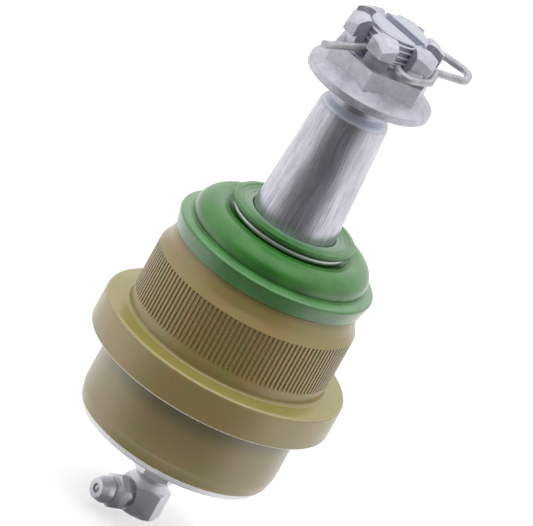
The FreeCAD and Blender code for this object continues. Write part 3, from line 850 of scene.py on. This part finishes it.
@dataclass
class StudThread:
    """Screw thread on the stud's end: a helical sleeve over the end, which is turned down for it."""

    pitch: float = 1.5 * MM
    crest: float = 7.95 * MM
    root: float = 7.0 * MM
    lining: float = 6.6 * MM
    flank: float = 2.5
    start_z: float = 74.3 * MM
    end_z: float = 90.2 * MM
    runout: float = 1.0 * MM
    core_from: float = 7.3 * MM
    core_to: float = 7.6 * MM
    core_lead: float = 0.2 * MM
    columns: int = 96
    rows_per_turn: int = 10

    def build(self, stud: bpy.types.Object, steel: bpy.types.Material) -> bpy.types.Object:
        """Turn the stud's end down to the thread's root and put the thread round it.

        Args:
            stud: the stud's skin, whose end is plain.
            steel: its finish.

        Returns:
            The thread.
        """
        self.turn_down(stud.data)
        thread = grid_mesh("stud_thread", self.surface())
        thread.data.materials.append(steel)
        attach(thread, Body.STUD.value)
        LOG.info("thread: %d turns", round((self.end_z - self.start_z) / self.pitch))
        return thread

    def turn_down(self, mesh: bpy.types.Mesh) -> None:
        """Move the threaded end's outer points in to the root radius."""
        points = np.empty(len(mesh.vertices) * 3)
        mesh.vertices.foreach_get("co", points)
        points = points.reshape(-1, 3)
        radius = np.hypot(points[:, 0], points[:, 1])
        height = points[:, 2]
        threaded = (height > self.start_z - self.core_lead) & (height < self.end_z)
        outer = (radius > self.core_from) & (radius < self.core_to)
        scale = np.where(threaded & outer, self.root / np.maximum(radius, self.root), 1.0)
        points[:, :2] *= scale[:, None]
        mesh.vertices.foreach_set("co", points.ravel())
        mesh.update()

    def surface(self) -> np.ndarray:
        """Grid of the thread: radius = root + depth times a blunt triangle wave of z / pitch - turns."""
        count = int((self.end_z - self.start_z) / self.pitch * self.rows_per_turn)
        height = np.linspace(self.start_z, self.end_z, count)[:, None]
        angle = full_turn(self.columns)
        phase = (height / self.pitch - angle / (2.0 * math.pi)) % 1.0
        wave = np.clip(self.flank * (0.5 - np.abs(phase - 0.5)), 0.0, 1.0)
        near_end = np.minimum(height - self.start_z, self.end_z - height)
        fade = np.clip(near_end / self.runout, 0.0, 1.0)
        outer = self.root + (self.crest - self.root) * wave * fade
        radius = np.concatenate([outer, np.full((2, self.columns), self.lining)])
        height = np.concatenate([height, [[self.end_z], [self.start_z]]])
        return turned(radius, angle, height)


@dataclass(frozen=True)
class Lamp:
    """Square area lamp that faces the part; reflections leave it out and show the white room."""

    name: str
    place: tuple[float, float, float]
    size: float
    power: float

    def build(self) -> None:
        """Put the lamp into the scene."""
        data = bpy.data.lights.new(self.name, "AREA")
        data.shape = "SQUARE"
        data.size = self.size
        data.energy = self.power
        lamp = new_object(self.name, data)
        lamp.location = self.place
        lamp.rotation_euler = Vector(self.place).to_track_quat("Z", "Y").to_euler()
        lamp.visible_glossy = False


@dataclass
class Studio:
    """Plain white floor, soft lamps, a dark flag for reflections and the camera of the photograph."""

    tilt: float = 29.06
    height_angle: float = 20.54
    distance: float = 2.2125
    aim: tuple[float, float, float] = (-0.97 * MM, 0.0, 21.23 * MM)
    view_width: float = 129.57 * MM
    sensor: float = 36.0
    floor_z: float = -52.8 * MM
    floor_size: float = 8.0
    floor_tone: float = 0.55
    floor_glow: float = 0.62
    world_level: float = 0.32
    world_front: float = 0.30
    flag_gap: float = 1.0 * MM
    flag_inner: float = 6 * MM
    flag_outer: float = 2.6
    flag_height: float = 1.7
    flag_share: float = 0.87
    flag_side: float = 0.25
    flag_front: float = 0.95
    window_middle: float = 64 * MM
    window_half: float = 8 * MM
    window_fade: float = 8 * MM
    window_share: float = 0.90
    lamps: tuple[Lamp, ...] = (
        Lamp("side_left", (-1.0, 0.15, 0.35), 0.9, 0.8),
        Lamp("side_right", (1.0, 0.20, 0.30), 0.9, 0.7),
        Lamp("overhead", (0.0, 0.0, 1.15), 1.4, 22.5),
    )

    def build(self) -> None:
        """Set up camera, floor, flag, lamps and world."""
        self.camera()
        self.floor()
        self.flag()
        for lamp in self.lamps:
            lamp.build()
        self.world()
        bpy.context.scene.view_settings.view_transform = "Standard"
        LOG.info("studio ready")

    def camera(self) -> None:
        """Look down at height_angle from the front, rolled by tilt so that the part leans right."""
        lift = math.radians(self.height_angle)
        roll = math.radians(self.tilt)
        forward = Vector((0.0, math.cos(lift), -math.sin(lift)))
        side = Vector((1.0, 0.0, 0.0))
        up = Vector((0.0, math.sin(lift), math.cos(lift)))
        right = side * math.cos(roll) + up * math.sin(roll)
        top = up * math.cos(roll) - side * math.sin(roll)
        data = bpy.data.cameras.new("photo_camera")
        data.sensor_width = self.sensor
        data.lens = self.sensor * self.distance / self.view_width
        data.clip_end = 20.0
        camera = new_object("photo_camera", data)
        columns = Matrix((right, top, -forward)).transposed().to_4x4()
        camera.matrix_world = Matrix.Translation(Vector(self.aim) - forward * self.distance) @ columns
        bpy.context.scene.camera = camera

    def floor(self) -> None:
        """Large square under the part that keeps its shadow and is white where it is seen."""
        half = self.floor_size / 2.0
        square = ((-half, -half), (half, -half), (half, half), (-half, half))
        corners = [(x, y, self.floor_z) for x, y in square]
        mesh = bpy.data.meshes.new("floor")
        mesh.from_pydata(corners, [], [(0, 1, 2, 3)])
        floor = new_object("floor", mesh)
        recipe = Recipe("floor_paper")
        recipe.finish(
            Base_Color=scaled(WHITE, self.floor_tone),
            Roughness=1.0,
            Specular_IOR_Level=0.0,
            Emission_Color=WHITE,
            Emission_Strength=recipe.seen() * self.floor_glow,
        )
        mesh.materials.append(recipe.material)

    def flag(self) -> None:
        """Dark cove in front of the part that only reflections see, fading out towards the sides.

        It runs along the floor and up beyond the camera: radius and height follow the cove's
        outline, and it is darkest straight ahead. A clear ring on the floor round the part gives
        its lower edges something pale to reflect.
        """
        floor = self.floor_z + self.flag_gap
        cove = np.array([
            (self.flag_inner, floor), (self.flag_outer, floor), (self.flag_outer, self.flag_height)
        ])
        angle = np.linspace(-0.5 * math.pi, 0.5 * math.pi, 25)[None, :]
        points = turned(cove[:, :1], angle, cove[:, 1:])
        index = np.arange(points[..., 0].size).reshape(points.shape[:2])
        faces = np.stack([index[:-1, :-1], index[:-1, 1:], index[1:, 1:], index[1:, :-1]], axis=-1)
        mesh = bpy.data.meshes.new("front_flag")
        mesh.from_pydata(points.reshape(-1, 3).tolist(), [], faces.reshape(-1, 4).tolist())
        flag = new_object("front_flag", mesh)
        recipe = Recipe("front_flag")
        distance = recipe.from_axis()
        ahead = (recipe.along("Y") / distance) * -1.0
        cover = ahead.rise(self.flag_side, self.flag_front, 0.0, self.flag_share)
        window = distance.band(self.window_middle, self.window_half, self.window_fade)
        recipe.finish(
            Base_Color=(0.02, 0.02, 0.02),
            Roughness=1.0,
            Specular_IOR_Level=0.0,
            Alpha=cover * (1.0 - window * self.window_share),
        )
        mesh.materials.append(recipe.material)
        for ray in ("camera", "diffuse", "transmission", "volume_scatter", "shadow"):
            setattr(flag, "visible_" + ray, False)

    def world(self) -> None:
        """White surroundings: full white where seen, and dimmer in front as light on the part."""
        world = bpy.data.worlds.new("tent")
        world.use_nodes = True
        graph = Graph(world.node_tree)
        direction = graph.node("ShaderNodeTexCoord", {}, {}).outputs["Generated"]
        front = self.world_level * self.world_front
        level = graph.split(direction)["Y"].rise(-1.0, 0.0, front, self.world_level, "LINEAR")
        strength = graph.seen().larger(level)
        sockets = {"Color": (*WHITE, 1.0), "Strength": strength}
        background = graph.node("ShaderNodeBackground", {}, sockets)
        graph.node("ShaderNodeOutputWorld", {}, {"Surface": background.outputs["Background"]})
        bpy.context.scene.world = world


def main() -> None:
    """Dress the part and set up the studio."""
    logging.basicConfig(level=logging.INFO)
    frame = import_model()
    wardrobe = Wardrobe.fill(frame)
    wardrobe.smooth_copy("housing")
    wardrobe.smooth_copy("cover_plate")
    stud = wardrobe.smooth_copy("ball_stud")
    StudThread().build(stud, wardrobe.finishes["stud_steel"])
    for node in ("castle_nut", "cotter_pin", "grease_fitting_body", "grease_nozzle", "check_ball"):
        wardrobe.smooth_copy(node)
    for node in (
        "upper_bearing", "lower_bearing", "pressure_plate", "preload_spring", "cover_seal", "boot_base_ring"
    ):
        wardrobe.dress(node)
    wardrobe.compressed_spring("check_spring", NIPPLE_INWARD)
    Boot().build(wardrobe)
    Studio().build()


if __name__ == "__main__":
    main()
